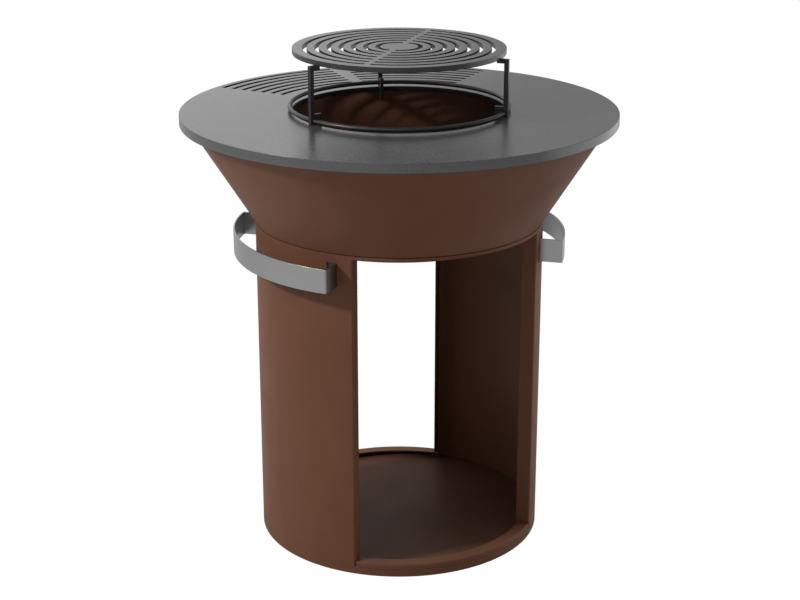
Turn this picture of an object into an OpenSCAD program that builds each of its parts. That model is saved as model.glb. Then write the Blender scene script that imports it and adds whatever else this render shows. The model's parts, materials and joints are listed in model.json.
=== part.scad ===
// Fire-plate barbecue: a round storage base of weathering steel, a conical fire
// bowl, a steel cooking plate with a grill section, and a raised cooking grate
// on a three-legged trivet over the fire hole.
// Frame: origin on the floor at the centre of the base, +Z up, front at -Y.
// Azimuths run from the front (-Y) towards the right (+X).

/* [Base] */
// Outer radius of the base shell
base_r = 334.3; // [300:0.1:370]
// Height of the base up to the top of its top ring
base_h = 764.5; // [600:0.5:900]
// Thickness of the weathering steel sheet
sheet_t = 3; // [2:0.5:5]
// Height of the ring round the foot of the base
bottom_ring_h = 17; // [12:0.5:30]
// Thickness of the ring that closes the top of the base
top_ring_t = 7.5; // [5:0.5:12]
// Width of the rings and of the bent window flanges
flange_w = 32.5; // [20:0.5:45]
// Inside radius of the sheet bends
bend_r = 1; // [0.5:0.5:4]
// Angle of each window, front and rear
window_angle = 86.1; // [60:0.1:95]

/* [Sills and floor] */
// Height of the upright face of each sill
sill_h = 13; // [10:0.5:25]
// Width of the flat top of each sill
sill_w = 28.3; // [20:0.1:40]
// Open seam between the foot ring and a sill
sill_seam = 0.8; // [0.4:0.1:2]
// Height of the storage floor above the ground
floor_z = 15; // [11:0.5:17]

/* [Handles] */
// Reach of the handle strips beyond the shell
handle_reach = 51.7; // [40:0.1:66]
// Thickness of the handle strip
handle_t = 4; // [3:0.5:6]
// Height of the handle strip
handle_h = 54.5; // [40:0.5:60]
// Outside radius of the handle's corners
handle_corner_r = 1; // [0.5:0.1:4]
// Angle that each handle spans round the base
handle_angle = 81; // [60:0.5:84]
// Distance from the top of the base down to the left handle
left_handle_drop = 19.8; // [19:0.1:80]
// Distance from the top of the base down to the right handle
right_handle_drop = 30.5; // [19:0.1:80]
// Width of the slots in the base that take the handle legs
leg_slot_w = 24; // [12:0.5:30]
// Length of the foot that turns in behind a slot
foot_len = 24; // [12:0.5:24]

/* [Fire bowl] */
// Step in from the shell to the lower edge of the cone
bowl_inset = 0.8; // [0.4:0.1:5]
// Height of the cone
bowl_h = 239.7; // [150:0.1:300]
// Dark joint left between the base and the cone
bowl_joint = 1.5; // [0.8:0.1:3]
// Thickness of the bowl floor
bowl_floor_t = 4; // [3:0.5:8]
// Diameter of the drain hole in the bowl floor
drain_d = 20; // [10:1:40]
// Depth of the centring ring under the bowl
centring_h = 20; // [10:1:40]

/* [Fire plate] */
// Outer radius of the cooking plate
plate_r = 500; // [495:1:560]
// Thickness of the cooking plate
plate_t = 12; // [8:0.5:15]
// Height of the hoop under the edge of the plate
hoop_h = 9.7; // [6:0.1:25]
// Width of the hoop under the edge of the plate
hoop_w = 10; // [5:0.5:12]
// Overhang of the plate beyond the upper edge of the cone
plate_overhang = 16.5; // [14:0.1:40]
// Radius of the fire hole
hole_r = 244; // [200:0.5:260]
// Small chamfer on the top edges of the plate
plate_ease = 1; // [0.5:0.1:2]
// Number of arc slots in the grill section
plate_slots = 7; // [3:1:7]
// Plain width of plate between the fire hole and the first slot
inner_land = 66.35; // [40:0.05:80]
// Plain width of plate outside the last slot
outer_land = 15.35; // [12:0.05:40]
// Width of a plate slot
slot_w = 10.5; // [6:0.5:14]
// Angle that the grill section spans
grill_angle = 87.9; // [40:0.1:120]
// Angle of the web in the middle of the grill section
grill_web_angle = 4.9; // [3:0.1:10]
// Azimuth of the middle of the grill section
grill_azimuth = 172.4; // [150:0.1:200]
// Azimuth of its web
grill_web_azimuth = 173.6; // [150:0.1:200]

/* [Trivet] */
// Distance from the edge of the fire hole out to the middle of the ring's rod
ring_outset = 5.5; // [3:0.1:10]
// Diameter of the ring's rod
ring_rod_d = 10; // [8:0.5:14]
// Height of the rod's middle above the plate
ring_rise = 9; // [6:0.1:16]
// Side of the square bar of legs and rests
trivet_bar = 10; // [8:0.5:14]
// Distance from the edge of the fire hole out to the middle of the legs
leg_outset = 8.6; // [6:0.1:15]
// Height of the trivet from the plate to the grate
trivet_h = 130.6; // [90:0.1:180]
// Reach of a grate rest inside its leg
rest_len = 17.2; // [12:0.1:40]
// Thickness of the locating fins
fin_t = 8; // [5:0.5:10]
// Reach of the locating fins inside the edge of the fire hole
fin_reach = 17; // [12:0.5:40]
// Depth of the fins below the plate's top
fin_drop = 30; // [15:1:60]
// Height of the fins above the plate's top
fin_rise = 23; // [18:1:40]
// Azimuth of the right leg
trivet_azimuth = 45.1; // [0:0.1:120]

/* [Cooking grate] */
// Step in from the edge of the fire hole to the edge of the grate
grate_inset = 1.8; // [0:0.1:8]
// Thickness of the grate
grate_t = 11.9; // [8:0.1:20]
// Number of rings of slots
grate_slots = 7; // [3:1:7]
// Radius of the innermost ring of slots
first_grate_slot_r = 48.5; // [40:0.1:50]
// Width of the rim outside the last ring of slots
grate_land = 23; // [12:0.1:30]
// Width of a grate slot
grate_slot_w = 10.2; // [6:0.1:14]
// Width of the straight web across the grate
grate_web = 11.5; // [8:0.5:20]
// Azimuth of the straight web
grate_azimuth = -44; // [-90:0.5:90]
// Small chamfer on the grate's edges
grate_ease = 1; // [0.5:0.1:2]

/* [Fits] */
// Gap between a piece and the seat that it rests on
seat_gap = 0.3; // [0.2:0.05:0.5]
// Side clearance between pieces of one assembly
side_gap = 0.4; // [0.3:0.05:0.8]
// Clearance of a notch round the trivet ring
notch_gap = 0.2; // [0.1:0.05:0.4]
// Clearance round the centring ring and the fins
loose_gap = 0.8; // [0.5:0.1:2]

/* [Hidden] */

// Overrun of every cut past the face that it opens
cut = 1;
$fn = 96;

front = 0;
rear = 180;
left = -90;
right = 90;
leg_step = 120;

window_half = window_angle / 2;
inner_r = base_r - sheet_t;
flange_r = base_r - flange_w;
bend_outer_r = bend_r + sheet_t;
// The foot of a window flange is notched over the sill up to this radius
notch_r = base_r - 2 * bend_outer_r + sheet_t;
panel_top_z = base_h - top_ring_t;
sill_top_z = bottom_ring_h + sill_h;
sill_inner_r = base_r - sill_w;

handle_r = base_r + handle_reach;
handle_half = handle_angle / 2;
left_handle_z = base_h - left_handle_drop;
right_handle_z = base_h - right_handle_drop;
foot_r = inner_r - side_gap;
foot_in_r = foot_r - handle_t;

bowl_bottom_r = base_r - bowl_inset;
bowl_top_r = plate_r - plate_overhang;
bowl_seat_z = base_h + seat_gap;
bowl_z = base_h + bowl_joint;
bowl_rim_z = bowl_z + bowl_h;
bowl_wall_w = sheet_t * sqrt(1 + pow((bowl_top_r - bowl_bottom_r) / bowl_h, 2));
bowl_floor_r = bowl_bottom_r - bowl_wall_w - side_gap;
centring_r = flange_r - loose_gap;

plate_z = bowl_rim_z + seat_gap;
plate_top_z = plate_z + plate_t;
first_slot_r = hole_r + inner_land + slot_w / 2;
last_slot_r = plate_r - outer_land - slot_w / 2;
slot_pitch = (last_slot_r - first_slot_r) / (plate_slots - 1);
grill_half = grill_angle / 2;
web_half = grill_web_angle / 2;

trivet_z = plate_top_z + seat_gap;
ring_z = plate_top_z + ring_rise;
trivet_ring_r = hole_r + ring_outset;
leg_r = hole_r + leg_outset;
fin_inner_r = hole_r - fin_reach;
grate_z = plate_top_z + trivet_h;
rest_top_z = grate_z - seat_gap;
leg_inner_r = leg_r - trivet_bar / 2;
fin_bottom_z = plate_top_z - fin_drop;
fin_top_z = plate_top_z + fin_rise;

grate_r = hole_r - grate_inset;
last_grate_slot_r = grate_r - grate_land - grate_slot_w / 2;
grate_pitch = (last_grate_slot_r - first_grate_slot_r) / (grate_slots - 1);
// The round ends of the grate's slots are a little flatter than half circles
end_flattening = 1.06;

corten = "#6b4636";
corten_dark = "#4d3428";
steel_plate = "#6f7173";
handle_steel = "#9a9b9c";
black_steel = "#2a2b2c";
grate_steel = "#5b5d5f";

// Turns a child so that its +X points to an azimuth and its +Y to rising azimuths
module at_azimuth(azimuth) {
    rotate([0, 0, azimuth - right]) children();
}

// Flat wedge from azimuth a to azimuth b, under 180 degrees apart
module wedge(a, b, r) {
    middle = (a + b) / 2;
    reach = 2 * r;
    polygon([
        [0, 0],
        reach * [sin(a), -cos(a)],
        reach * [sin(middle), -cos(middle)],
        reach * [sin(b), -cos(b)]
    ]);
}

// Flat ring sector between two radii and two azimuths
module ring_sector(r_out, r_in, a, b) {
    intersection() {
        difference() {
            circle(r_out);
            circle(r_in);
        }
        wedge(a, b, r_out);
    }
}

// Angle that an arc of a given length takes at a radius
function arc_angle(length, r) = length / r * 180 / PI;

// Half plane on the rising side of an azimuth, kept away from it by an inset
module beyond_azimuth(azimuth, inset, r) {
    reach = 2 * r;
    at_azimuth(azimuth) translate([-reach, inset]) square(2 * reach);
}

// Half plane on the falling side of an azimuth, kept away from it by an inset
module before_azimuth(azimuth, inset, r) {
    reach = 2 * r;
    at_azimuth(azimuth) mirror([0, 1]) translate([-reach, inset]) square(2 * reach);
}

// What a fillet takes off a corner: the space round a circle, from the direction
// -Y to the direction at an angle
module fillet_waste(r, angle) {
    reach = 4 * r;
    difference() {
        polygon([[0, 0], [0, -reach], [reach, -reach], reach * [cos(angle), sin(angle)]]);
        circle(r);
    }
}

// Slice of a disc of radius r between two azimuths, set in by an inset all round,
// with its two outer corners rounded about the centres of a bend of radius bend
module rounded_slice(r, inset, bend, middle, half) {
    centre = sqrt(pow(r - bend, 2) - pow(bend, 2));
    lean = asin(bend / (r - bend));
    difference() {
        intersection() {
            circle(r - inset);
            beyond_azimuth(middle - half, inset, r);
            before_azimuth(middle + half, inset, r);
        }
        at_azimuth(middle - half)
            translate([centre, bend]) fillet_waste(bend - inset, lean);
        at_azimuth(middle + half) mirror([0, 1])
            translate([centre, bend]) fillet_waste(bend - inset, lean);
    }
}

// Outline of a curved strip whose two ends turn in radially down to radius r_end
module bent_strip(r, r_end, thickness, bend_inside, middle, half) {
    bend = bend_inside + thickness;
    difference() {
        rounded_slice(r, 0, bend, middle, half);
        rounded_slice(r, thickness, bend, middle, half);
        circle(r_end);
    }
}

// Slots that let the two legs of a handle through the shell
module handle_slots(middle, top_z) {
    for (side = [-1, 1])
        at_azimuth(middle + side * handle_half)
            mirror([0, (side + 1) / 2, 0])
                translate([inner_r - 2 * cut, -side_gap, top_z - handle_h - side_gap])
                    cube([sheet_t + 3 * cut, leg_slot_w + side_gap, handle_h + 2 * side_gap]);
}

// One side of the shell, with a window flange bent in at each end; the flanges
// stand on the sills
module side_panel(middle, handle_top_z) {
    color(corten) difference() {
        translate([0, 0, bottom_ring_h])
            linear_extrude(panel_top_z - bottom_ring_h)
                bent_strip(base_r, flange_r, sheet_t, bend_r, middle, right - window_half);
        for (side = [-1, 1])
            at_azimuth(middle + side * (right - window_half)) mirror([0, (side + 1) / 2, 0])
                translate([flange_r - cut, -cut, bottom_ring_h - cut])
                    cube([notch_r - flange_r + cut, sheet_t + 2 * cut, sill_h + cut]);
        handle_slots(middle, handle_top_z);
    }
}

// Square with its far corner rounded
module eased_square(size, r) {
    difference() {
        square(size);
        translate(size - [r, r]) difference() {
            square(r + cut);
            circle(r);
        }
    }
}

// Bent sill across a window: an upright face under a flat top, whose ends reach
// under the window flanges
module sill(middle) {
    face_half = window_half - arc_angle(side_gap, base_r);
    top_half = window_half + arc_angle(bend_outer_r, flange_r);
    face_z = bottom_ring_h + sill_seam;
    inside = [-cut, -cut];
    color(corten) difference() {
        at_azimuth(middle - top_half) rotate_extrude(angle = 2 * top_half)
            translate([sill_inner_r, face_z]) difference() {
                eased_square([sill_w, sill_top_z - face_z], bend_outer_r);
                translate(inside)
                    eased_square([sill_w - sheet_t, sill_top_z - sheet_t - face_z] - inside, bend_r);
            }
        for (side = [-1, 1])
            linear_extrude(sill_top_z + cut)
                ring_sector(
                    base_r + cut, notch_r - side_gap,
                    middle + side * (face_half + top_half) / 2 - top_half + face_half,
                    middle + side * (face_half + top_half) / 2 + top_half - face_half
                );
    }
}

module base_bottom_ring() {
    color(corten) rotate_extrude() {
        translate([inner_r, 0]) square([sheet_t, bottom_ring_h]);
        translate([flange_r, 0]) square([flange_w, sheet_t]);
    }
}

module left_side_panel() { side_panel(left, left_handle_z); }

module right_side_panel() { side_panel(right, right_handle_z); }

module front_sill() { sill(front); }

module rear_sill() { sill(rear); }

// Storage floor: a shallow pan turned upside down on the foot ring
module floor_tray() {
    tray_r = inner_r - side_gap;
    skirt_z = sheet_t + seat_gap;
    color(corten_dark) rotate_extrude() {
        translate([0, floor_z - sheet_t]) square([tray_r, sheet_t]);
        translate([tray_r - sheet_t, skirt_z]) square([sheet_t, floor_z - skirt_z]);
    }
}

module base_top_ring() {
    color(corten) translate([0, 0, panel_top_z]) difference() {
        cylinder(r = base_r, h = top_ring_t);
        translate([0, 0, -cut]) cylinder(r = flange_r, h = top_ring_t + 2 * cut);
    }
}

// Outline of a handle: a curved strip, two legs through the shell, and at the end
// of each leg a foot that turns in behind the slot
module handle_outline(middle) {
    foot_angle = arc_angle(foot_len, foot_r);
    difference() {
        rounded_slice(handle_r, 0, handle_corner_r, middle, handle_half);
        difference() {
            intersection() {
                circle(handle_r - handle_t);
                beyond_azimuth(middle - handle_half, handle_t, handle_r);
                before_azimuth(middle + handle_half, handle_t, handle_r);
            }
            circle(foot_r);
        }
        intersection() {
            circle(base_r);
            wedge(middle - handle_half + foot_angle, middle + handle_half - foot_angle, base_r);
        }
        circle(foot_in_r);
    }
}

module handle(middle, top_z) {
    color(handle_steel) translate([0, 0, top_z - handle_h])
        linear_extrude(handle_h) handle_outline(middle);
}

module left_handle() { handle(left, left_handle_z); }

module right_handle() { handle(right, right_handle_z); }

module bowl_cone() {
    color(corten) translate([0, 0, bowl_z]) rotate_extrude()
        polygon([
            [bowl_bottom_r - bowl_wall_w, 0],
            [bowl_bottom_r, 0],
            [bowl_top_r, bowl_h],
            [bowl_top_r - bowl_wall_w, bowl_h]
        ]);
}

module bowl_floor() {
    color(corten_dark) translate([0, 0, bowl_seat_z]) difference() {
        cylinder(r = bowl_floor_r, h = bowl_floor_t);
        translate([0, 0, -cut]) cylinder(d = drain_d, h = bowl_floor_t + 2 * cut);
    }
}

// Ring under the bowl that drops inside the top ring of the base
module bowl_centring_ring() {
    color(corten_dark) translate([0, 0, bowl_seat_z - centring_h]) difference() {
        cylinder(r = centring_r, h = centring_h);
        translate([0, 0, -cut]) cylinder(r = centring_r - sheet_t, h = centring_h + 2 * cut);
    }
}

// Arc slots of the grill section, left and right of its web
module grill_slots() {
    for (i = [0 : plate_slots - 1])
        for (side = [-1, 1])
            let (
                r = first_slot_r + i * slot_pitch,
                near = grill_web_azimuth + side * web_half,
                far = grill_azimuth + side * grill_half
            )
                ring_sector(r + slot_w / 2, r - slot_w / 2, min(near, far), max(near, far));
}

module fire_plate() {
    color(steel_plate) translate([0, 0, plate_z]) difference() {
        rotate_extrude() polygon([
            [hole_r, 0],
            [plate_r, 0],
            [plate_r, plate_t - plate_ease],
            [plate_r - plate_ease, plate_t],
            [hole_r + plate_ease, plate_t],
            [hole_r, plate_t - plate_ease]
        ]);
        translate([0, 0, -cut]) linear_extrude(plate_t + 2 * cut) grill_slots();
    }
}

module plate_rim_hoop() {
    color(steel_plate) translate([0, 0, plate_z - hoop_h]) difference() {
        cylinder(r = plate_r, h = hoop_h);
        translate([0, 0, -cut]) cylinder(r = plate_r - hoop_w, h = hoop_h + 2 * cut);
    }
}

// Rod ring of the trivet, thickened by a clearance where it serves as a cutter
module rod_ring(clearance) {
    translate([0, 0, ring_z]) rotate_extrude()
        translate([trivet_ring_r, 0]) circle(d = ring_rod_d + 2 * clearance, $fn = 48);
}

module trivet_ring() { color(black_steel) rod_ring(0); }

// Upright leg of square bar, notched over the ring
module trivet_leg(azimuth) {
    color(black_steel) difference() {
        at_azimuth(azimuth) translate([leg_inner_r, -trivet_bar / 2, trivet_z])
            cube([trivet_bar, trivet_bar, rest_top_z - trivet_z]);
        rod_ring(notch_gap);
    }
}

// Short bar at the top of a leg that carries the grate
module grate_rest(azimuth) {
    color(black_steel) at_azimuth(azimuth)
        translate([leg_inner_r - rest_len, -trivet_bar / 2, rest_top_z - trivet_bar])
            cube([rest_len, trivet_bar, trivet_bar]);
}

// Fin at the foot of a leg that drops into the fire hole and centres the trivet
module trivet_fin(azimuth) {
    color(black_steel) difference() {
        at_azimuth(azimuth) rotate([90, 0, 0]) translate([0, 0, -fin_t / 2]) linear_extrude(fin_t)
            polygon([
                [fin_inner_r, fin_bottom_z],
                [hole_r - loose_gap, fin_bottom_z],
                [hole_r - loose_gap, trivet_z],
                [leg_inner_r, trivet_z],
                [leg_inner_r, fin_top_z],
                [fin_inner_r, fin_top_z]
            ]);
        rod_ring(notch_gap);
    }
}

module right_trivet_leg() { trivet_leg(trivet_azimuth); }

module rear_trivet_leg() { trivet_leg(trivet_azimuth + leg_step); }

module left_trivet_leg() { trivet_leg(trivet_azimuth - leg_step); }

module right_grate_rest() { grate_rest(trivet_azimuth); }

module rear_grate_rest() { grate_rest(trivet_azimuth + leg_step); }

module left_grate_rest() { grate_rest(trivet_azimuth - leg_step); }

module right_trivet_fin() { trivet_fin(trivet_azimuth); }

module rear_trivet_fin() { trivet_fin(trivet_azimuth + leg_step); }

module left_trivet_fin() { trivet_fin(trivet_azimuth - leg_step); }

// Half a ring of slot on the rising side of an azimuth, with round ends that
// leave a straight web along that azimuth
module half_ring_slot(r, azimuth) {
    w = grate_slot_w;
    from_web = (grate_web + w) / 2;
    turn = asin(from_web / r);
    difference() {
        intersection() {
            difference() {
                circle(r + w / 2);
                circle(r - w / 2);
            }
            beyond_azimuth(azimuth, 0, r);
        }
        for (end = [0, 1])
            at_azimuth(azimuth + turn + end * (rear - 2 * turn)) mirror([0, end])
                translate([r, 0]) difference() {
                    translate([-w, -2 * from_web]) square(2 * [w, from_web]);
                    circle(d = w * end_flattening, $fn = 32);
                }
    }
}

// Rings of slots, each broken twice by the straight web
module grate_openings() {
    for (i = [0 : grate_slots - 1])
        for (side = [0, 1])
            half_ring_slot(first_grate_slot_r + i * grate_pitch, grate_azimuth + side * rear);
}

module cooking_grate() {
    color(grate_steel) translate([0, 0, grate_z]) difference() {
        rotate_extrude() polygon([
            [0, 0],
            [grate_r, 0],
            [grate_r, grate_t - grate_ease],
            [grate_r - grate_ease, grate_t],
            [0, grate_t]
        ]);
        translate([0, 0, -cut]) linear_extrude(grate_t + 2 * cut) grate_openings();
    }
}

base_bottom_ring();
left_side_panel();
right_side_panel();
front_sill();
rear_sill();
floor_tray();
base_top_ring();
left_handle();
right_handle();
bowl_cone();
bowl_floor();
bowl_centring_ring();
fire_plate();
plate_rim_hoop();
trivet_ring();
right_trivet_leg();
rear_trivet_leg();
left_trivet_leg();
right_grate_rest();
rear_grate_rest();
left_grate_rest();
right_trivet_fin();
rear_trivet_fin();
left_trivet_fin();
cooking_grate();
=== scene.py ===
"""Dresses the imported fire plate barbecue: finishes, eased metalwork, studio and camera.

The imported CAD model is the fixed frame. The shell and the bowl keep their CAD
meshes and get a finish. The handles and the loose ironwork, where the light
catches every edge, are modelled again here with eased edges and stand for
their CAD nodes. All lengths are in metres, in the frame of the CAD.
"""

import json
import logging
import math
from collections.abc import Iterable
from dataclasses import dataclass, field
from enum import Enum

import bmesh
import bpy
from mathutils import Matrix, Vector

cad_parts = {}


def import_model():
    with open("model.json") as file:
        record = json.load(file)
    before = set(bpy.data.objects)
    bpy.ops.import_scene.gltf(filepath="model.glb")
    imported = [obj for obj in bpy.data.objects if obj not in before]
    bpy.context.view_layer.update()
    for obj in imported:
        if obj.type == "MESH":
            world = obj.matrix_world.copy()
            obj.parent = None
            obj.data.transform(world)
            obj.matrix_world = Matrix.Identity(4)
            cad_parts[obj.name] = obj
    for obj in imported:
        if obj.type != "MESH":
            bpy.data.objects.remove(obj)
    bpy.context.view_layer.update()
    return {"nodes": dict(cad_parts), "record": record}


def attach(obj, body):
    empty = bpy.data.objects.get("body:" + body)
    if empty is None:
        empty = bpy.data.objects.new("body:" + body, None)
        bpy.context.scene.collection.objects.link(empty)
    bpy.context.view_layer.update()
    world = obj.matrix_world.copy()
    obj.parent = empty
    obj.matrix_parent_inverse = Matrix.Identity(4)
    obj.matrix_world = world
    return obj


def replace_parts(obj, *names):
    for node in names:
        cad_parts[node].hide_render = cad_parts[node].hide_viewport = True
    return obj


LOG = logging.getLogger("barbecue")
# Vertices closer together than this are one.
MERGE = 1e-6
# The facets of an arc stray no further than this from the true arc.
ARC_ERROR = 0.00005
LEAST_ARC_STEPS = 4
# Edges that turn by more than the first are rounded, and by more than the second are shaded as sharp.
EASED_ANGLE = math.radians(60.0)
SHARP_ANGLE = math.radians(50.0)
UP = (0.0, 0.0, 1.0)
ORIGIN = (0.0, 0.0, 0.0)
WHITE = (1.0, 1.0, 1.0, 1.0)

Color = tuple[float, float, float]
Point = tuple[float, float, float]


def on_azimuth(radius: float, azimuth: float, z: float = 0.0) -> Vector:
    """Gives a point by its azimuth, counted from the front (-Y) towards the right (+X).

    Args:
        radius: Distance from the vertical axis.
        azimuth: Azimuth in degrees.
        z: Height above the ground.

    Returns:
        The point.
    """
    turn = math.radians(azimuth)
    return Vector((radius * math.sin(turn), -radius * math.cos(turn), z))


def add_object(name: str, data: bpy.types.ID) -> bpy.types.Object:
    """Adds an object to the scene and returns it."""
    added = bpy.data.objects.new(name, data)
    bpy.context.scene.collection.objects.link(added)
    return added


# Shader effects and finishes


@dataclass(frozen=True)
class NoiseLook:
    """Look of a noise texture at any scale."""

    detail: float
    roughness: float
    distortion: float = 0.0


BLOTCH = NoiseLook(detail=5.0, roughness=0.6, distortion=0.4)
STREAK = NoiseLook(detail=4.0, roughness=0.55)
SPECKLE = NoiseLook(detail=3.0, roughness=0.7)
GRAIN = NoiseLook(detail=3.0, roughness=0.6)
CLOUD = NoiseLook(detail=4.0, roughness=0.5)
# Each band maps a range of noise to a range of strength.
DEEP_BAND = ((0.42, 0.72), (0.0, 0.75))
STREAK_BAND = ((0.48, 0.75), (0.0, 0.6))
BRIGHT_BAND = ((0.5, 0.85), (0.0, 0.8))
# Rain draws its streaks downwards, so they are much finer across than along.
RAIN_STRETCH = (14.0, 14.0, 1.1)
SPECKLE_HEIGHT = 0.7
BLOTCH_HEIGHT = 0.3


def opaque(color: Color) -> tuple[float, float, float, float]:
    """Gives a colour with full cover."""
    return (*color, 1.0)


class Sketch:
    """Adds nodes to a node tree, with their settings and inputs in one call."""

    def __init__(self, tree: bpy.types.NodeTree) -> None:
        """Starts on a tree, which is emptied first."""
        self.tree = tree
        tree.nodes.clear()

    def add(self, kind: str, inputs: dict | None = None, **settings: object) -> bpy.types.Node:
        """Adds one node.

        Args:
            kind: Node type, without its "ShaderNode" prefix where it has one.
            inputs: Value or output socket for each input, by name or number.
            settings: Properties of the node.

        Returns:
            The node.
        """
        prefix = "" if kind.startswith("Node") else "ShaderNode"
        node = self.tree.nodes.new(prefix + kind)
        for name, value in settings.items():
            setattr(node, name, value)
        for name, value in (inputs or {}).items():
            if isinstance(value, bpy.types.NodeSocket):
                self.link(value, node.inputs[name])
            else:
                node.inputs[name].default_value = value
        return node

    def link(self, source: bpy.types.NodeSocket, target: bpy.types.NodeSocket) -> None:
        """Links an output to an input."""
        self.tree.links.new(source, target)

    def math(self, operation: str, *values: object) -> bpy.types.NodeSocket:
        """Adds a Math node and returns its output."""
        inputs = dict(enumerate(values))
        return self.add("Math", inputs, operation=operation).outputs[0]

    def remap(self, value: bpy.types.NodeSocket, source: tuple[float, float],
              target: tuple[float, float]) -> bpy.types.NodeSocket:
        """Maps a value from one range to another, clamped, and returns the output."""
        node = self.add("MapRange", {"Value": value, "From Min": source[0], "From Max": source[1],
                                     "To Min": target[0], "To Max": target[1]})
        return node.outputs["Result"]

    def mix(self, factor: object, first: object, second: object) -> bpy.types.NodeSocket:
        """Mixes two colours and returns the output."""
        node = self.add("Mix", {0: factor, 6: first, 7: second}, data_type="RGBA")
        return node.outputs[2]

    def noise(self, place: bpy.types.NodeSocket, scale: object, look: NoiseLook) -> bpy.types.NodeSocket:
        """Adds a noise texture and returns its output."""
        node = self.add("TexNoise", {"Vector": place, "Scale": scale, "Detail": look.detail,
                                     "Roughness": look.roughness, "Distortion": look.distortion})
        return node.outputs["Fac"]

    def stretch(self, place: bpy.types.NodeSocket, factors: object) -> bpy.types.NodeSocket:
        """Multiplies a vector by factors and returns the output."""
        return self.add("VectorMath", {0: place, 1: factors}, operation="MULTIPLY").outputs[0]

    def along(self, direction: bpy.types.NodeSocket, axis: Vector) -> bpy.types.NodeSocket:
        """Measures how far a direction lies along an axis and returns the output."""
        return self.add("VectorMath", {0: direction, 1: axis}, operation="DOT_PRODUCT").outputs["Value"]


class SocketKind(Enum):
    """Kinds of socket that an effect takes or gives."""

    VALUE = "NodeSocketFloat"
    COLOR = "NodeSocketColor"
    VECTOR = "NodeSocketVector"


def new_effect(name: str, inputs: dict[str, SocketKind],
               outputs: dict[str, SocketKind]) -> tuple[Sketch, bpy.types.Node, bpy.types.Node]:
    """Starts a shader node group.

    Args:
        name: Name of the group.
        inputs: Input sockets by name.
        outputs: Output sockets by name.

    Returns:
        The sketch of the group, its input node and its output node.
    """
    tree = bpy.data.node_groups.new(name, "ShaderNodeTree")
    for in_out, sockets in (("INPUT", inputs), ("OUTPUT", outputs)):
        for socket_name, kind in sockets.items():
            tree.interface.new_socket(socket_name, in_out=in_out, socket_type=kind.value)
    sketch = Sketch(tree)
    return sketch, sketch.add("NodeGroupInput"), sketch.add("NodeGroupOutput")


def patina_effect() -> bpy.types.NodeTree:
    """Makes the rust patina: soft blotches, streaks that rain has drawn, and fine speckle.

    Returns:
        The node group.
    """
    sketch, given, made = new_effect(
        "rust patina",
        {"Vector": SocketKind.VECTOR, "Base": SocketKind.COLOR, "Deep": SocketKind.COLOR,
         "Bright": SocketKind.COLOR, "Blotch Scale": SocketKind.VALUE, "Speckle Scale": SocketKind.VALUE,
         "Variation": SocketKind.VALUE},
        {"Color": SocketKind.COLOR, "Mask": SocketKind.VALUE, "Height": SocketKind.VALUE})
    place, variation = given.outputs["Vector"], given.outputs["Variation"]
    blotch = sketch.noise(place, given.outputs["Blotch Scale"], BLOTCH)
    streak = sketch.noise(sketch.stretch(place, RAIN_STRETCH), 1.0, STREAK)
    speckle = sketch.noise(place, given.outputs["Speckle Scale"], SPECKLE)
    darkest = sketch.math("MAXIMUM", sketch.remap(blotch, *DEEP_BAND), sketch.remap(streak, *STREAK_BAND))
    dark = sketch.math("MULTIPLY", darkest, variation)
    bright = sketch.math("MULTIPLY", sketch.remap(speckle, *BRIGHT_BAND), variation)
    shaded = sketch.mix(dark, given.outputs["Base"], given.outputs["Deep"])
    flecked = sketch.mix(bright, shaded, given.outputs["Bright"])
    height = sketch.math("ADD", sketch.math("MULTIPLY", speckle, SPECKLE_HEIGHT),
                         sketch.math("MULTIPLY", blotch, BLOTCH_HEIGHT))
    sketch.link(flecked, made.inputs["Color"])
    sketch.link(dark, made.inputs["Mask"])
    sketch.link(height, made.inputs["Height"])
    return sketch.tree


def grain_effect() -> bpy.types.NodeTree:
    """Makes the fine grain of worked metal, drawn out along one direction, over faint cloudy handling marks.

    Returns:
        The node group.
    """
    sketch, given, made = new_effect(
        "metal grain",
        {"Vector": SocketKind.VECTOR, "Stretch": SocketKind.VECTOR, "Cloud Scale": SocketKind.VALUE,
         "Grain Share": SocketKind.VALUE},
        {"Mask": SocketKind.VALUE, "Height": SocketKind.VALUE})
    place, share = given.outputs["Vector"], given.outputs["Grain Share"]
    grain = sketch.noise(sketch.stretch(place, given.outputs["Stretch"]), 1.0, GRAIN)
    cloud = sketch.noise(place, given.outputs["Cloud Scale"], CLOUD)
    rest = sketch.math("SUBTRACT", 1.0, share)
    mask = sketch.math("ADD", sketch.math("MULTIPLY", grain, share), sketch.math("MULTIPLY", cloud, rest))
    sketch.link(mask, made.inputs["Mask"])
    sketch.link(grain, made.inputs["Height"])
    return sketch.tree


def round_axis_effect() -> bpy.types.NodeTree:
    """Unrolls the object's coordinates round its vertical axis, as radius, arc and height.

    Returns:
        The node group.
    """
    sketch, given, made = new_effect(
        "round the axis", {"Vector": SocketKind.VECTOR}, {"Vector": SocketKind.VECTOR})
    split = sketch.add("SeparateXYZ", {0: given.outputs["Vector"]})
    radius = sketch.math("SQRT", sketch.math("ADD", sketch.math("POWER", split.outputs[0], 2.0),
                                             sketch.math("POWER", split.outputs[1], 2.0)))
    angle = sketch.math("ARCTAN2", split.outputs[0], split.outputs[1])
    joined = sketch.add("CombineXYZ", {0: radius, 1: angle, 2: split.outputs[2]})
    sketch.link(joined.outputs[0], made.inputs["Vector"])
    return sketch.tree


class Effects:
    """The shared node groups, each built once."""

    def __init__(self) -> None:
        """Builds the groups."""
        self.patina = patina_effect()
        self.grain = grain_effect()
        self.round_axis = round_axis_effect()


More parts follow.
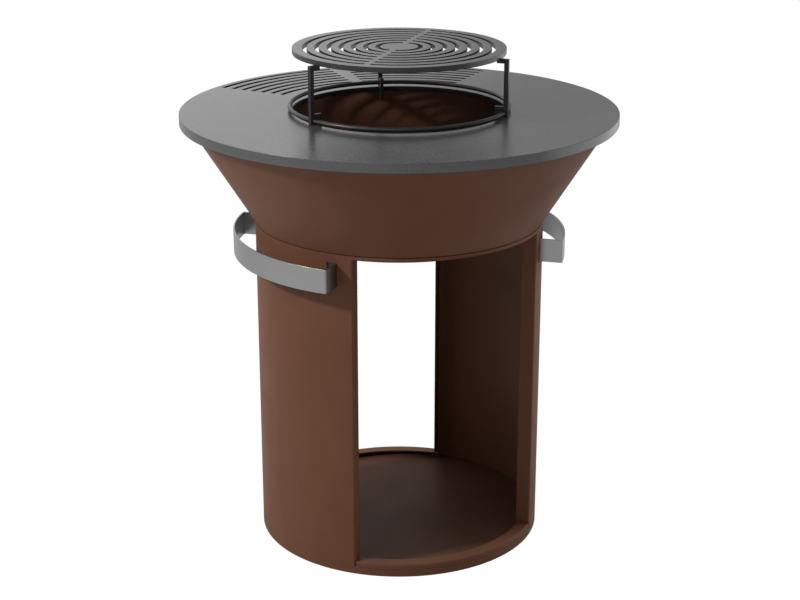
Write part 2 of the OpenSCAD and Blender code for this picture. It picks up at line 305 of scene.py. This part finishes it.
def start_material(name: str) -> tuple[Sketch, bpy.types.Node, bpy.types.NodeSocket]:
    """Starts a material with a Principled BSDF.

    Args:
        name: Name of the material.

    Returns:
        The sketch, the Principled BSDF and the object coordinates.
    """
    material = bpy.data.materials.new(name)
    material.use_nodes = True
    sketch = Sketch(material.node_tree)
    shader = sketch.add("BsdfPrincipled")
    sketch.add("OutputMaterial", {"Surface": shader.outputs[0]})
    return sketch, shader, sketch.add("TexCoord").outputs["Object"]


@dataclass(frozen=True)
class PatinaFinish:
    """Weathering steel with its rust patina."""

    name: str
    slot: str
    base: Color
    deep: Color
    bright: Color
    blotch_scale: float = 5.0
    speckle_scale: float = 260.0
    variation: float = 0.6
    roughness: tuple[float, float] = (0.52, 0.66)
    mask_range: tuple[float, float] = (0.0, 0.6)
    bump: float = 0.00012
    bump_strength: float = 0.6
    specular: float = 0.13

    def build(self, effects: Effects) -> bpy.types.Material:
        """Makes the material.

        Args:
            effects: The shared node groups.

        Returns:
            The material.
        """
        sketch, shader, place = start_material(self.name)
        patina = sketch.add("Group", node_tree=effects.patina)
        sketch.link(place, patina.inputs["Vector"])
        for socket, value in (("Base", self.base), ("Deep", self.deep), ("Bright", self.bright)):
            patina.inputs[socket].default_value = opaque(value)
        patina.inputs["Blotch Scale"].default_value = self.blotch_scale
        patina.inputs["Speckle Scale"].default_value = self.speckle_scale
        patina.inputs["Variation"].default_value = self.variation
        bump = sketch.add("Bump", {"Height": patina.outputs["Height"], "Distance": self.bump,
                                   "Strength": self.bump_strength})
        sketch.link(patina.outputs["Color"], shader.inputs["Base Color"])
        sketch.link(sketch.remap(patina.outputs["Mask"], self.mask_range, self.roughness),
                    shader.inputs["Roughness"])
        sketch.link(bump.outputs[0], shader.inputs["Normal"])
        shader.inputs["Specular IOR Level"].default_value = self.specular
        return bpy.data.materials[self.name]


@dataclass(frozen=True)
class MetalFinish:
    """Worked steel or iron, bare or painted, with a fine grain."""

    name: str
    slot: str
    color: Color
    pale: Color
    metallic: float
    roughness: tuple[float, float]
    stretch: Point = (300.0, 300.0, 300.0)
    round_axis: bool = False
    cloud_scale: float = 6.0
    grain_share: float = 0.5
    mask_range: tuple[float, float] = (0.3, 0.7)
    bump: float = 0.00005
    bump_strength: float = 0.5
    specular: float = 0.5

    def build(self, effects: Effects) -> bpy.types.Material:
        """Makes the material.

        Args:
            effects: The shared node groups.

        Returns:
            The material.
        """
        sketch, shader, place = start_material(self.name)
        round_axis = sketch.add("Group", {"Vector": place}, node_tree=effects.round_axis)
        unrolled = round_axis.outputs["Vector"]
        if self.round_axis:
            place = unrolled
        grain = sketch.add("Group", node_tree=effects.grain)
        sketch.link(place, grain.inputs["Vector"])
        grain.inputs["Stretch"].default_value = self.stretch
        grain.inputs["Cloud Scale"].default_value = self.cloud_scale
        grain.inputs["Grain Share"].default_value = self.grain_share
        tone = sketch.remap(grain.outputs["Mask"], self.mask_range, (0.0, 1.0))
        tint = sketch.mix(tone, opaque(self.color), opaque(self.pale))
        tint = self.wear_and_shade(sketch, shader, unrolled, tint)
        bump = sketch.add("Bump", {"Height": grain.outputs["Height"], "Distance": self.bump,
                                   "Strength": self.bump_strength})
        sketch.link(tint, shader.inputs["Base Color"])
        sketch.link(sketch.remap(grain.outputs["Mask"], self.mask_range, self.roughness),
                    shader.inputs["Roughness"])
        sketch.link(bump.outputs[0], shader.inputs["Normal"])
        shader.inputs["Metallic"].default_value = self.metallic
        shader.inputs["Specular IOR Level"].default_value = self.specular
        return bpy.data.materials[self.name]

    def wear_and_shade(self, sketch: Sketch, shader: bpy.types.Node, unrolled: bpy.types.NodeSocket,
             tint: bpy.types.NodeSocket) -> bpy.types.NodeSocket:
        """Gives the colour with the wear and the painted shade of the piece, here without any."""
        return tint


@dataclass(frozen=True)
class PlateFinish(MetalFinish):
    """Ground cooking plate, with painted shade on the walls of its openings and bare on its outer edge."""

    # Painted shade: everything below the cooking surface, chiefly the walls of the openings, is darkened to this
    # near-black.
    painted_shade: Color = (0.012, 0.011, 0.010)
    painted_shade_top: float = 1.0172
    painted_shade_fade: float = 0.0005
    edge: Color = (0.11, 0.11, 0.11)
    edge_radius: float = 0.4999
    edge_fade: float = 0.0002
    edge_metallic: float = 0.6

    def wear_and_shade(self, sketch: Sketch, shader: bpy.types.Node, unrolled: bpy.types.NodeSocket,
             tint: bpy.types.NodeSocket) -> bpy.types.NodeSocket:
        """Gives the colour with painted shade below the cooking surface and with the bare outer edge.

        Args:
            sketch: The sketch of the material.
            shader: Its Principled BSDF.
            unrolled: Radius, arc and height.
            tint: The colour of the cooking surface.

        Returns:
            The colour.
        """
        split = sketch.add("SeparateXYZ", {0: unrolled})
        # Painted shade: near-black below the cooking surface, fading in just under it.
        in_shade = sketch.remap(split.outputs[2], (self.painted_shade_top - self.painted_shade_fade, self.painted_shade_top), (1.0, 0.0))
        bare = sketch.remap(split.outputs[0], (self.edge_radius - self.edge_fade, self.edge_radius), (0.0, 1.0))
        sketch.link(sketch.math("MULTIPLY", bare, self.edge_metallic), shader.inputs["Metallic"])
        return sketch.mix(bare, sketch.mix(in_shade, tint, opaque(self.painted_shade)), opaque(self.edge))


SHELL = PatinaFinish("weathered shell", "weathering_steel",
                     base=(0.136, 0.0565, 0.031), deep=(0.102, 0.042, 0.023), bright=(0.172, 0.077, 0.044))
# A darker, greyer copy of the shell's weathering steel for the inside parts; its extra darkness is painted shade.
SHADED_INSIDE = PatinaFinish("weathered inside", "dark_weathering_steel",
                      base=(0.110, 0.052, 0.033), deep=(0.080, 0.038, 0.025), bright=(0.138, 0.070, 0.048),
                      roughness=(0.45, 0.6), specular=0.06)
PLATE = PlateFinish("ground plate steel", "plate_steel", color=(0.050, 0.050, 0.051), pale=(0.058, 0.058, 0.059),
                    metallic=0.0, roughness=(0.26, 0.29), stretch=(900.0, 25.0, 900.0), grain_share=0.4,
                    bump=0.000003)
STRIP = MetalFinish("satin stainless strip", "stainless_strip", color=(0.29, 0.29, 0.29), pale=(0.33, 0.33, 0.33),
                    metallic=1.0, roughness=(0.30, 0.36), stretch=(30.0, 4.0, 900.0), round_axis=True,
                    grain_share=0.6, bump=0.000006)
BLACK = MetalFinish("black painted bar", "black_steel", color=(0.009, 0.009, 0.009), pale=(0.015, 0.015, 0.015),
                    metallic=0.0, roughness=(0.32, 0.42), specular=0.4)
GRATE = MetalFinish("seasoned grate iron", "grate_iron", color=(0.016, 0.016, 0.017), pale=(0.023, 0.023, 0.024),
                    metallic=0.0, roughness=(0.24, 0.30), grain_share=0.35)


def dress(piece: bpy.types.Object, finish: PatinaFinish | MetalFinish, materials: dict[str, bpy.types.Material],
          body: str | None = None) -> bpy.types.Object:
    """Gives a piece its finish, its material slot and, for a new piece, its body.

    Args:
        piece: The object.
        finish: Its finish.
        materials: The built materials by finish name.
        body: The CAD body that a new piece rides on.

    Returns:
        The piece.
    """
    piece.data.materials.clear()
    piece.data.materials.append(materials[finish.name])
    if body:
        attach(piece, body)
    LOG.info("%s: %s, %d faces", piece.name, finish.name, len(piece.data.polygons))
    return piece


# Drawing and finishing of new pieces


def arc_steps(radius: float, turn: float = 360.0) -> int:
    """Gives the number of straight edges that draw an arc to ARC_ERROR.

    Args:
        radius: Radius of the arc.
        turn: Its angle in degrees.

    Returns:
        The number of edges, never under LEAST_ARC_STEPS.
    """
    finest = math.degrees(2.0 * math.acos(1.0 - ARC_ERROR / max(radius, 2.0 * ARC_ERROR)))
    return max(LEAST_ARC_STEPS, math.ceil(abs(turn) / finest))


def verts_of(geometry: Iterable) -> list[bmesh.types.BMVert]:
    """Picks the vertices out of what an operator gives."""
    return [item for item in geometry if isinstance(item, bmesh.types.BMVert)]


def lift(shape: bmesh.types.BMesh, verts: Iterable[bmesh.types.BMVert], rise: float) -> None:
    """Moves vertices straight up."""
    bmesh.ops.translate(shape, verts=verts, vec=(0.0, 0.0, rise))


def spin_round(shape: bmesh.types.BMesh, radius: float) -> None:
    """Turns a profile once round the vertical axis, in steps that suit its radius."""
    bmesh.ops.spin(shape, geom=shape.verts[:] + shape.edges[:], cent=ORIGIN, axis=UP, angle=math.tau,
                   steps=arc_steps(radius), use_merge=True)


class Pen:
    """Draws an outline edge by edge, from one vertex."""

    def __init__(self, shape: bmesh.types.BMesh, start: Vector) -> None:
        """Sets the pen down at a point."""
        self.shape = shape
        self.tip = bmesh.ops.create_vert(shape, co=start)["vert"][0]

    def arc(self, turn: float, centre: Vector = Vector()) -> "Pen":
        """Draws a level arc.

        Args:
            turn: Its angle in degrees, counterclockwise seen from above.
            centre: Its centre.

        Returns:
            The pen.
        """
        steps = arc_steps((self.tip.co - centre).length, turn)
        drawn = bmesh.ops.spin(self.shape, geom=[self.tip], cent=centre, axis=UP, angle=math.radians(turn),
                               steps=steps)
        self.tip = verts_of(drawn["geom_last"])[0]
        return self

    def line(self, to: Vector) -> "Pen":
        """Draws a straight edge to a point and returns the pen."""
        self.tip = bmesh.ops.extrude_vert_indiv(self.shape, verts=[self.tip])["verts"][0]
        self.tip.co = to
        return self


def ease_edges(shape: bmesh.types.BMesh, ease: float, segments: int = 2) -> None:
    """Rounds all the sharp edges of a shape.

    Args:
        shape: The shape.
        ease: Width that the rounding takes from each face.
        segments: Number of facets across it.
    """
    sharp = [edge for edge in shape.edges if edge.is_manifold and edge.calc_face_angle() > EASED_ANGLE]
    bmesh.ops.bevel(shape, geom=sharp, offset=ease, offset_type="OFFSET", segments=segments, profile=0.5,
                    affect="EDGES", clamp_overlap=True, material=-1)


def cut_sheet(shape: bmesh.types.BMesh, thickness: float, ease: float, both_sides: bool) -> None:
    """Makes a sheet from the outlines of its edge and openings, which lie at the height of its top.

    Args:
        shape: The shape that holds the outlines.
        thickness: Thickness of the sheet.
        ease: Radius of its rounded edges.
        both_sides: Whether the edges underneath are rounded too.
    """
    bmesh.ops.remove_doubles(shape, verts=shape.verts, dist=MERGE)
    bmesh.ops.triangle_fill(shape, edges=shape.edges[:], use_beauty=True, use_dissolve=False, normal=UP)
    # The rounding has two facets, which meet halfway round its quarter arc.
    outer_share = 1.0 - math.sqrt(0.5)
    rim = bmesh.ops.inset_region(shape, faces=shape.faces[:], thickness=outer_share * ease,
                                 use_boundary=True, use_even_offset=True)["faces"]
    flat = list(set(shape.faces) - set(rim))
    bmesh.ops.inset_region(shape, faces=flat, thickness=(1.0 - outer_share) * ease,
                           use_boundary=True, use_even_offset=True)
    edges = [edge for edge in shape.edges if edge.is_boundary]
    low = {vert for edge in edges for vert in edge.verts}
    middle = {vert for face in rim for vert in face.verts} - low
    lift(shape, list(low), -ease)
    lift(shape, list(middle), -outer_share * ease)
    fall = (thickness / 2.0 if both_sides else thickness) - ease
    side = bmesh.ops.extrude_edge_only(shape, edges=edges)["geom"]
    foot = verts_of(side)
    lift(shape, foot, -fall)
    if both_sides:
        lift(shape, shape.verts, -foot[0].co.z)
        bmesh.ops.mirror(shape, geom=shape.verts[:] + shape.edges[:] + shape.faces[:], axis="Z",
                         matrix=Matrix.Identity(4), merge_dist=MERGE)
    else:
        bottom = [edge for edge in shape.edges if edge.is_boundary]
        bmesh.ops.triangle_fill(shape, edges=bottom, use_beauty=True, use_dissolve=False, normal=UP)


def new_piece(name: str, shape: bmesh.types.BMesh) -> bpy.types.Object:
    """Makes an object from a finished shape.

    Args:
        name: Name of the piece.
        shape: The shape, which is freed.

    Returns:
        The object, with smooth faces between its sharp edges.
    """
    bmesh.ops.remove_doubles(shape, verts=shape.verts, dist=MERGE)
    bmesh.ops.recalc_face_normals(shape, faces=shape.faces)
    mesh = bpy.data.meshes.new(name)
    shape.to_mesh(mesh)
    shape.free()
    mesh.shade_smooth()
    mesh.set_sharp_from_angle(angle=SHARP_ANGLE)
    piece = add_object(name, mesh)
    weighted = piece.modifiers.new("weighted normals", "WEIGHTED_NORMAL")
    weighted.keep_sharp = True
    return piece


def bar(name: str, azimuth: float, radii: tuple[float, float], heights: tuple[float, float], width: float,
        ease: float) -> bpy.types.Object:
    """Makes a straight bar with rounded edges that lies along an azimuth.

    Args:
        name: Name of the piece.
        azimuth: Azimuth of its middle plane in degrees.
        radii: Distances of its ends from the vertical axis.
        heights: Heights of its bottom and its top.
        width: Its width across the azimuth.
        ease: Radius of its edges.

    Returns:
        The object.
    """
    shape = bmesh.new()
    size = Vector((radii[1] - radii[0], width, heights[1] - heights[0]))
    centre = Vector(((radii[0] + radii[1]) / 2.0, 0.0, (heights[0] + heights[1]) / 2.0))
    turn = Matrix.Rotation(math.radians(azimuth - 90.0), 4, "Z")
    bmesh.ops.create_cube(shape, size=1.0, matrix=turn @ Matrix.Translation(centre) @ Matrix.Diagonal((*size, 1.0)))
    ease_edges(shape, ease, segments=3)
    return new_piece(name, shape)


# Pieces


@dataclass
class FirePlate:
    """Loose ring-shaped cooking plate with its grill section, and the hoop under its edge."""

    radius: float = 0.5
    hole_radius: float = 0.244
    top_z: float = 1.018
    thickness: float = 0.012
    ease: float = 0.001
    slot_count: int = 7
    first_slot_radius: float = 0.3156
    slot_pitch: float = 0.0273
    slot_width: float = 0.0105
    grill_azimuth: float = 172.4
    grill_half_angle: float = 43.95
    web_azimuth: float = 173.6
    web_half_angle: float = 2.45
    hoop_height: float = 0.0097
    hoop_width: float = 0.01

    def build(self, materials: dict[str, bpy.types.Material]) -> None:
        """Makes the plate and its hoop, for the CAD nodes of the same names."""
        for piece, node in ((self.plate(), "fire_plate"), (self.hoop(), "plate_rim_hoop")):
            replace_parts(dress(piece, PLATE, materials, "plate"), node)

    def draw_slot(self, shape: bmesh.types.BMesh, radius: float, start: float, end: float) -> None:
        """Draws an arc slot with square ends between two azimuths."""
        outside = radius + self.slot_width / 2.0
        inside = radius - self.slot_width / 2.0
        pen = Pen(shape, on_azimuth(outside, start))
        pen.arc(end - start).line(on_azimuth(inside, end)).arc(start - end).line(on_azimuth(outside, start))

    def plate(self) -> bpy.types.Object:
        """Makes the plate.

        Returns:
            The object.
        """
        shape = bmesh.new()
        for radius in (self.radius, self.hole_radius):
            Pen(shape, on_azimuth(radius, 0.0)).arc(360.0)
        for number in range(self.slot_count):
            radius = self.first_slot_radius + number * self.slot_pitch
            self.draw_slot(shape, radius, self.grill_azimuth - self.grill_half_angle,
                           self.web_azimuth - self.web_half_angle)
            self.draw_slot(shape, radius, self.web_azimuth + self.web_half_angle,
                           self.grill_azimuth + self.grill_half_angle)
        cut_sheet(shape, self.thickness, self.ease, both_sides=False)
        lift(shape, shape.verts, self.top_z)
        return new_piece("cooking_plate", shape)

    def hoop(self) -> bpy.types.Object:
        """Makes the hoop under the plate's edge.

        Returns:
            The object.
        """
        shape = bmesh.new()
        top = self.top_z - self.thickness
        inside = self.radius - self.hoop_width
        pen = Pen(shape, on_azimuth(self.radius, 0.0, top))
        pen.line(on_azimuth(self.radius, 0.0, top - self.hoop_height))
        pen.line(on_azimuth(inside, 0.0, top - self.hoop_height))
        pen.line(on_azimuth(inside, 0.0, top)).line(on_azimuth(self.radius, 0.0, top))
        bmesh.ops.remove_doubles(shape, verts=shape.verts, dist=MERGE)
        spin_round(shape, self.radius)
        bmesh.ops.recalc_face_normals(shape, faces=shape.faces)
        lower = [edge for edge in shape.edges
                 if edge.is_manifold and edge.calc_face_angle() > EASED_ANGLE
                 and edge.verts[0].co.z < top - self.hoop_height / 2.0]
        bmesh.ops.bevel(shape, geom=lower, offset=self.ease, offset_type="OFFSET", segments=2, profile=0.5,
                        affect="EDGES", material=-1)
        return new_piece("plate_hoop", shape)


@dataclass
class CookingGrate:
    """Round grate with rings of slots that one straight web breaks."""

    radius: float = 0.2422
    bottom_z: float = 1.1486
    thickness: float = 0.0119
    ease: float = 0.0006
    slot_count: int = 7
    first_slot_radius: float = 0.0485
    slot_pitch: float = 0.0276
    slot_width: float = 0.0102
    web_width: float = 0.0115
    web_azimuth: float = -44.0

    def build(self, materials: dict[str, bpy.types.Material]) -> None:
        """Makes the grate, for the CAD node cooking_grate."""
        shape = bmesh.new()
        Pen(shape, on_azimuth(self.radius, 0.0)).arc(360.0)
        for number in range(self.slot_count):
            for side in (0.0, 180.0):
                self.draw_slot(shape, self.first_slot_radius + number * self.slot_pitch, self.web_azimuth + side)
        cut_sheet(shape, self.thickness, self.ease, both_sides=True)
        lift(shape, shape.verts, self.bottom_z + self.thickness / 2.0)
        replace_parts(dress(new_piece("slotted_grate", shape), GRATE, materials, "grate"), "cooking_grate")

    def draw_slot(self, shape: bmesh.types.BMesh, radius: float, azimuth: float) -> None:
        """Draws half a ring of slot, with round ends, on the rising side of the web's azimuth."""
        turn = math.degrees(math.asin((self.web_width + self.slot_width) / 2.0 / radius))
        start, end = azimuth + turn, azimuth + 180.0 - turn
        pen = Pen(shape, on_azimuth(radius + self.slot_width / 2.0, start))
        pen.arc(end - start).arc(180.0, on_azimuth(radius, end))
        pen.arc(start - end).arc(180.0, on_azimuth(radius, start))


@dataclass
class Handle:
    """Strip handle whose two legs pass through the shell and turn in behind it."""

    node: str
    azimuth: float
    top_z: float
    radius: float = 0.386
    thickness: float = 0.004
    height: float = 0.0545
    half_angle: float = 40.5
    foot_radius: float = 0.3269
    foot_length: float = 0.0262
    bend: float = 0.003
    bend_facets: int = 4
    ease: float = 0.0007

    def build(self, materials: dict[str, bpy.types.Material]) -> None:
        """Makes the handle from its outer line, for its CAD node."""
        shape = bmesh.new()
        foot_angle = math.degrees(self.foot_length / (self.foot_radius + self.thickness))
        start, end = self.azimuth - self.half_angle, self.azimuth + self.half_angle
        low = self.top_z - self.height
        pen = Pen(shape, on_azimuth(self.foot_radius, start + foot_angle))
        pen.arc(-foot_angle).line(on_azimuth(self.radius, start)).arc(end - start)
        pen.line(on_azimuth(self.foot_radius, end)).arc(-foot_angle)
        lift(shape, shape.verts, low)
        risen = bmesh.ops.extrude_edge_only(shape, edges=shape.edges[:])["geom"]
        lift(shape, verts_of(risen), self.height)
        # The strip has to face outwards, because it gets its thickness on the side away from its face.
        bmesh.ops.recalc_face_normals(shape, faces=shape.faces)
        middle = min(shape.faces, key=lambda face: (face.calc_center_median() -
                                                    on_azimuth(self.radius, self.azimuth, low)).length)
        if middle.normal.dot(on_azimuth(1.0, self.azimuth)) < 0.0:
            bmesh.ops.reverse_faces(shape, faces=shape.faces)
        bmesh.ops.solidify(shape, geom=shape.faces[:], thickness=self.thickness)
        bmesh.ops.recalc_face_normals(shape, faces=shape.faces)
        bends = [edge for edge in shape.edges
                 if edge.calc_face_angle() > EASED_ANGLE and edge.calc_length() > self.height / 2.0
                 and min(vert.co.to_2d().length for vert in edge.verts) > self.radius - self.thickness / 2.0]
        bmesh.ops.bevel(shape, geom=bends, offset=self.bend, offset_type="OFFSET", segments=self.bend_facets,
                        profile=0.5, affect="EDGES", material=-1)
        ease_edges(shape, self.ease)
        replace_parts(dress(new_piece(f"{self.node}_strip", shape), STRIP, materials, "base"), self.node)


@dataclass
class Trivet:
    """Three-legged stand of round rod and square bar that carries the grate."""

    ring_radius: float = 0.2495
    rod_radius: float = 0.005
    rod_sides: int = 20
    ring_z: float = 1.027
    foot_z: float = 1.0183
    top_z: float = 1.1483
    bar_size: float = 0.01
    leg_inner_radius: float = 0.2476
    rest_length: float = 0.0172
    fin_inner_radius: float = 0.227
    fin_outer_radius: float = 0.2432
    fin_bottom_z: float = 0.988
    fin_top_z: float = 1.041
    fin_thickness: float = 0.008
    ease: float = 0.0008
    azimuths: dict[str, float] = field(default_factory=lambda: {"right": 45.1, "rear": 165.1, "left": -74.9})

    def build(self, materials: dict[str, bpy.types.Material]) -> None:
        """Makes the ring, and the leg, rest and fin at each azimuth, for their CAD nodes."""
        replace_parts(dress(self.ring(), BLACK, materials, "trivet"), "trivet_ring")
        leg = (self.leg_inner_radius, self.leg_inner_radius + self.bar_size)
        rest = (self.leg_inner_radius - self.rest_length, self.leg_inner_radius)
        for side, azimuth in self.azimuths.items():
            parts = {
                f"{side}_trivet_leg": bar(f"{side}_leg_bar", azimuth, leg, (self.foot_z, self.top_z),
                                          self.bar_size, self.ease),
                f"{side}_grate_rest": bar(f"{side}_rest_bar", azimuth, rest,
                                          (self.top_z - self.bar_size, self.top_z), self.bar_size, self.ease),
                f"{side}_trivet_fin": self.fin(f"{side}_fin_plate", azimuth),
            }
            for node, piece in parts.items():
                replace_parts(dress(piece, BLACK, materials, "trivet"), node)

    def ring(self) -> bpy.types.Object:
        """Makes the ring of round rod.

        Returns:
            The object.
        """
        shape = bmesh.new()
        place = Matrix.Translation((self.ring_radius, 0.0, self.ring_z)) @ Matrix.Rotation(math.pi / 2.0, 4, "X")
        bmesh.ops.create_circle(shape, segments=self.rod_sides, radius=self.rod_radius, matrix=place)
        spin_round(shape, self.ring_radius)
        return new_piece("trivet_rod_ring", shape)

    def fin(self, name: str, azimuth: float) -> bpy.types.Object:
        """Makes the flat fin that stands inside the fire hole and reaches out to its leg.

        Args:
            name: Name of the piece.
            azimuth: Azimuth of its leg in degrees.

        Returns:
            The object.
        """
        shape = bmesh.new()
        corners = ((self.fin_outer_radius, self.fin_bottom_z), (self.fin_outer_radius, self.foot_z),
                   (self.leg_inner_radius, self.foot_z), (self.leg_inner_radius, self.fin_top_z),
                   (self.fin_inner_radius, self.fin_top_z), (self.fin_inner_radius, self.fin_bottom_z))
        pen = Pen(shape, Vector((self.fin_inner_radius, -self.fin_thickness / 2.0, self.fin_bottom_z)))
        for radius, z in corners:
            pen.line(Vector((radius, -self.fin_thickness / 2.0, z)))
        bmesh.ops.remove_doubles(shape, verts=shape.verts, dist=MERGE)
        bmesh.ops.edgeloop_fill(shape, edges=shape.edges)
        drawn = bmesh.ops.extrude_face_region(shape, geom=shape.faces[:])["geom"]
        bmesh.ops.translate(shape, verts=verts_of(drawn), vec=(0.0, self.fin_thickness, 0.0))
        bmesh.ops.recalc_face_normals(shape, faces=shape.faces)
        ease_edges(shape, self.ease)
        bmesh.ops.rotate(shape, verts=shape.verts, cent=ORIGIN,
                         matrix=Matrix.Rotation(math.radians(azimuth - 90.0), 3, "Z"))
        return new_piece(name, shape)


# Studio


@dataclass(frozen=True)
class Lamp:
    """A soft box that faces the barbecue."""

    name: str
    azimuth: float
    elevation: float
    distance: float
    size: tuple[float, float]
    power: float
    target_z: float = 0.7

    def build(self) -> None:
        """Makes the lamp, aimed at the barbecue and hidden from the camera."""
        light = bpy.data.lights.new(self.name, "AREA")
        light.shape = "RECTANGLE"
        light.size, light.size_y = self.size
        light.energy = self.power
        lamp = add_object(self.name, light)
        reach = self.distance * math.cos(math.radians(self.elevation))
        rise = self.distance * math.sin(math.radians(self.elevation))
        lamp.location = on_azimuth(reach, self.azimuth, self.target_z + rise)
        aim = Vector((0.0, 0.0, self.target_z)) - lamp.location
        lamp.rotation_euler = aim.to_track_quat("-Z", "Y").to_euler()
        lamp.visible_camera = False


@dataclass(frozen=True)
class Glow:
    """Soft bright part of the studio's walls."""

    azimuth: float
    elevation: float
    sharpness: float
    strength: float

    def level(self, sketch: Sketch, direction: bpy.types.NodeSocket) -> bpy.types.NodeSocket:
        """Adds the nodes for the glow's brightness in a direction.

        Args:
            sketch: The sketch of the world.
            direction: The direction.

        Returns:
            The brightness.
        """
        rise = math.radians(self.elevation)
        middle = on_azimuth(math.cos(rise), self.azimuth, math.sin(rise))
        near = sketch.math("MAXIMUM", sketch.along(direction, middle), 0.0)
        falloff = sketch.math("POWER", near, self.sharpness)
        return sketch.math("MULTIPLY", falloff, self.strength)


def seen_straight(sketch: Sketch, path: bpy.types.Node) -> bpy.types.NodeSocket:
    """Gives 1 on the rays that show the backdrop straight or through glass, from a Light Path node."""
    return sketch.math("MAXIMUM", path.outputs["Is Camera Ray"], path.outputs["Is Transmission Ray"])


@dataclass
class Studio:
    """Floor, light and the camera of the photograph."""

    camera_azimuth: float = -25.4
    camera_reach: float = 3.83285
    camera_height: float = 1.88194
    camera_pitch: float = 19.09
    sensor_width: float = 36.0
    lens: float = 77.009
    shift_x: float = 0.000925
    floor_radius: float = 40.0
    floor_sides: int = 96
    floor_albedo: float = 0.6
    floor_white: float = 0.9
    floor_mirrored: float = 0.2
    floor_glow: float = 1.075
    ambient: float = 0.22
    side_blend: float = 0.05
    mirrored_left: float = 1.14
    mirrored_right: float = 0.5
    glows: list[Glow] = field(default_factory=lambda: [
        Glow(azimuth=105.0, elevation=0.0, sharpness=4.0, strength=2.9),
        Glow(azimuth=180.0, elevation=65.0, sharpness=4.0, strength=0.8),
        Glow(azimuth=-95.0, elevation=5.0, sharpness=4.0, strength=0.35),
    ])
    lamps: list[Lamp] = field(default_factory=lambda: [
        Lamp("key", azimuth=-91.0, elevation=33.0, distance=4.5, size=(0.45, 0.45), power=124.0),
        Lamp("fill", azimuth=86.0, elevation=0.0, distance=2.5, size=(3.4, 1.3), power=9.5),
    ])

    def build(self) -> None:
        """Makes the studio."""
        self.place_camera()
        self.light_world()
        self.lay_floor()
        for lamp in self.lamps:
            lamp.build()
        bpy.context.scene.view_settings.view_transform = "Standard"

    def place_camera(self) -> None:
        """Places the camera where the photograph was taken from."""
        data = bpy.data.cameras.new("photo camera")
        data.sensor_width = self.sensor_width
        data.lens = self.lens
        data.shift_x = self.shift_x
        data.clip_end = 2.0 * self.floor_radius
        camera = add_object("photo camera", data)
        camera.location = on_azimuth(self.camera_reach, self.camera_azimuth, self.camera_height)
        camera.rotation_euler = (math.radians(90.0 - self.camera_pitch), 0.0, math.radians(self.camera_azimuth))
        bpy.context.scene.camera = camera

    def light_world(self) -> None:
        """Makes a white world that lights by its glows and is mirrored brighter on the left of the view."""
        world = bpy.data.worlds.new("studio")
        world.use_nodes = True
        bpy.context.scene.world = world
        sketch = Sketch(world.node_tree)
        direction = sketch.add("TexCoord").outputs["Generated"]
        level = self.ambient
        for glow in self.glows:
            level = sketch.math("ADD", level, glow.level(sketch, direction))
        side = sketch.along(direction, on_azimuth(1.0, self.camera_azimuth - 90.0))
        mirrored = sketch.remap(side, (-self.side_blend, self.side_blend), (self.mirrored_right, self.mirrored_left))
        path = sketch.add("LightPath")
        level = sketch.mix(path.outputs["Is Glossy Ray"], level, mirrored)
        level = sketch.math("MAXIMUM", level, seen_straight(sketch, path))
        backdrop = sketch.add("Background", {"Color": WHITE, "Strength": level})
        sketch.add("OutputWorld", {"Surface": backdrop.outputs[0]})

    def lay_floor(self) -> None:
        """Lays a pale round floor that keeps the soft shadow of the barbecue."""
        shape = bmesh.new()
        bmesh.ops.create_circle(shape, cap_ends=True, segments=self.floor_sides, radius=self.floor_radius)
        mesh = bpy.data.meshes.new("studio_floor")
        shape.to_mesh(mesh)
        shape.free()
        floor = add_object("studio_floor", mesh)
        material = bpy.data.materials.new("pale floor")
        material.use_nodes = True
        sketch = Sketch(material.node_tree)
        lit = sketch.add("BsdfDiffuse", {"Color": opaque((self.floor_albedo,) * 3)})
        white = sketch.add("Emission", {"Color": WHITE, "Strength": self.floor_glow})
        path = sketch.add("LightPath")
        direct = sketch.math("MULTIPLY", seen_straight(sketch, path), self.floor_white)
        mirrored = sketch.math("MULTIPLY", path.outputs["Is Glossy Ray"], self.floor_mirrored)
        share = sketch.math("MAXIMUM", direct, mirrored)
        both = sketch.add("MixShader", {0: share, 1: lit.outputs[0], 2: white.outputs[0]})
        sketch.add("OutputMaterial", {"Surface": both.outputs[0]})
        mesh.materials.append(material)


def main() -> None:
    """Dresses the barbecue, piece by piece, and sets it in its studio."""
    logging.basicConfig(level=logging.INFO, format="%(message)s")
    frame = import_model()
    nodes = frame["nodes"]
    effects = Effects()
    finishes = (SHELL, SHADED_INSIDE, PLATE, STRIP, BLACK, GRATE)
    materials = {finish.name: finish.build(effects) for finish in finishes}
    by_slot = {finish.slot: finish for finish in finishes}
    for row in frame["record"]["subparts"]:
        dress(nodes[row["node"]], by_slot[row["material_slot"]], materials)
    Handle("left_handle", azimuth=-90.0, top_z=0.7447).build(materials)
    Handle("right_handle", azimuth=90.0, top_z=0.734).build(materials)
    FirePlate().build(materials)
    Trivet().build(materials)
    CookingGrate().build(materials)
    Studio().build()


if __name__ == "__main__":
    main()
